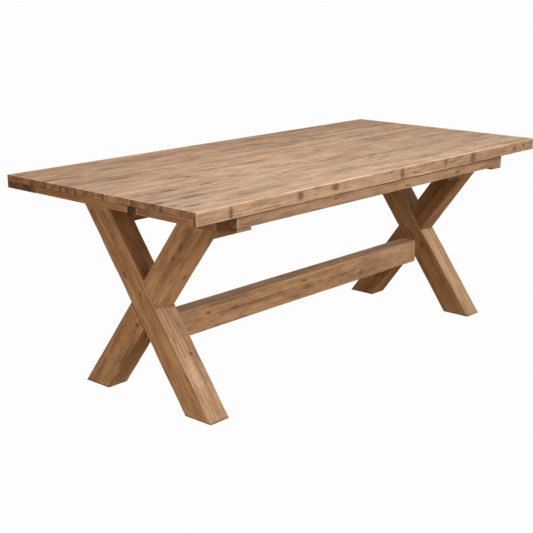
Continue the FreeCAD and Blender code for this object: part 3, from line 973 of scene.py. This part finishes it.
def screw_bores(node, screws):
    """Cutters for the counterbores that a group of screws has in one node."""
    low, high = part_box(node)
    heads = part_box(screws)[0].z
    return [bore_cutter((x, y), low.z - CUTTER_MARGIN, heads) for x, y in fastener_places(screws)
            if low.x < x < high.x and low.y < y < high.y]


def housing(strip):
    """A cutter for the housing of an end strip in the front board, open below and at the board's end."""
    low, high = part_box(strip)
    low.z -= CUTTER_MARGIN
    if high.x < 0:
        low.x -= CUTTER_MARGIN
    else:
        high.x += CUTTER_MARGIN
    return box_cutter(low, high)


def build_top():
    """The planks and the front board, the rim, plugs and batten under them, and the aprons."""
    for number in range(1, PLANK_COUNT + 1):
        board("top_plank_%d" % number, "top_wood", "plank", "X", "Y")
    board("front_edge_board", "top_wood", "edge", "X", "Y", radii=FRONT_BOARD_RADII,
          cutters=[housing("end_strip_%s_front" % end) for end in ENDS])
    board("back_edge_strip", "rim_wood", "strip", "X", "Y", radii=[EASED, SHARP, SHARP, EASED])
    board("middle_batten", "rim_wood", "strip", "Y", "X")
    for end in ENDS:
        for side in reversed(SIDES):
            board("end_strip_%s_%s" % (end, side), "rim_wood", "strip", "Y", "X",
                  radii=[SHARP, EASED, EASED, SHARP])
        board("end_plug_%s" % end, "plug_wood", "block", "X", "Y")
    for side in SIDES:
        board("apron_%s" % side, "apron_wood", "rail", "X", "Z")


def build_frames():
    """Each leg frame with its bearer and blocks, and the stretcher between the frames."""
    for end in ENDS:
        for side in SIDES:
            board("apron_block_%s_%s" % (end, side), "apron_wood", "block", "X", "Y")
            block = "corner_block_%s_%s" % (end, side)
            board(block, "frame_wood", "beam", "X", "Y", cutters=screw_bores(block, "corner_screws"))
        bearer = "bearer_%s" % end
        notch = box_cutter(*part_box("back_edge_strip"))
        board(bearer, "frame_wood", "beam", "Y", "X", cutters=[notch] + screw_bores(bearer, "bearer_screws"))
        front, rear = "%s_leg_front" % end, "%s_leg_rear" % end
        leg(front, rear, True)
        leg(rear, front, False)

    low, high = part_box("stretcher")
    low.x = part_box("near_leg_front")[1].x
    high.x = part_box("far_leg_front")[0].x
    board("stretcher", "frame_wood", "tie", "X", "Z", limits=(low, high))


def dress_fasteners():
    """The CAD's pegs, dowels, screws and bolts keep their shapes and get their finishes."""
    finishes = {"dowel_wood": wood_material("pegs", "dowel_wood", PEG_SIZE, grained=False),
                "steel": steel_material()}
    for row in frame["record"]["subparts"]:
        finish = finishes.get(row["material_slot"])
        if finish:
            mesh = frame["nodes"][row["node"]].data
            mesh.materials.clear()
            mesh.materials.append(finish)


def build_floor():
    """A pale floor that shows no shadow and throws no light on the table."""
    reach = FLOOR_REACH
    mesh = bpy.data.meshes.new("floor")
    mesh.from_pydata([(-reach, -reach, 0), (reach, -reach, 0), (reach, reach, 0), (-reach, reach, 0)], [],
                     [(0, 1, 2, 3)])
    floor = add_object("floor", mesh)
    paint = bpy.data.materials.new("floor_paint")
    shader = Graph(paint).shader
    shader.inputs["Base Color"].default_value = (0.0, 0.0, 0.0, 1.0)
    shader.inputs["Roughness"].default_value = FLOOR_ROUGHNESS
    shader.inputs["Specular IOR Level"].default_value = 0.0
    shader.inputs["Emission Color"].default_value = (*WHITE, 1.0)
    shader.inputs["Emission Strength"].default_value = FLOOR_GLOW
    mesh.materials.append(paint)
    floor.visible_diffuse = False
    floor.visible_glossy = False


def build_sky():
    """Soft light from all round, warmer and dimmer from below, and dimmer from the near end."""
    world = bpy.data.worlds.new("studio")
    bpy.context.scene.world = world
    g = Graph(world, "Background")
    along, _, height = g.split(g.coordinates("Generated"))
    strength = g.math("MULTIPLY", g.step(height, *SKY_BY_HEIGHT), g.step(along, *SKY_ALONG))
    g.feed(g.shader.inputs["Strength"], strength)
    g.feed(g.shader.inputs["Color"], g.ramp(height, ((0.0, BOUNCED_LIGHT), (WHITE_FROM, WHITE))))


def area_light(name, place, target, size, power, colour):
    """A square soft box at place, aimed at target."""
    lamp = bpy.data.lights.new(name, "AREA")
    lamp.shape = "SQUARE"
    lamp.size = size
    lamp.energy = power
    lamp.color = colour
    box = add_object(name, lamp)
    box.location = place
    box.rotation_euler = (Vector(target) - Vector(place)).to_track_quat("-Z", "Y").to_euler()


def build_camera():
    """The photograph's camera."""
    lens = bpy.data.cameras.new("photo_camera")
    lens.sensor_width = SENSOR_WIDTH
    lens.lens = CAMERA_LENS
    lens.clip_end = CLIP_END
    camera = add_object("photo_camera", lens)
    camera.location = CAMERA_PLACE
    level = Euler((math.pi / 2 + CAMERA_PITCH, 0.0, CAMERA_YAW)).to_matrix()
    camera.rotation_euler = (level @ Matrix.Rotation(CAMERA_ROLL, 3, "Z")).to_euler()
    bpy.context.scene.camera = camera


def build_studio():
    """The floor, the lights and the camera, with plain colours."""
    view = bpy.context.scene.view_settings
    view.view_transform = "Standard"
    view.look = "None"
    build_floor()
    build_sky()
    for name, light in LIGHTS.items():
        area_light(name, **light)
    build_camera()


build_top()
build_frames()
dress_fasteners()
build_studio()
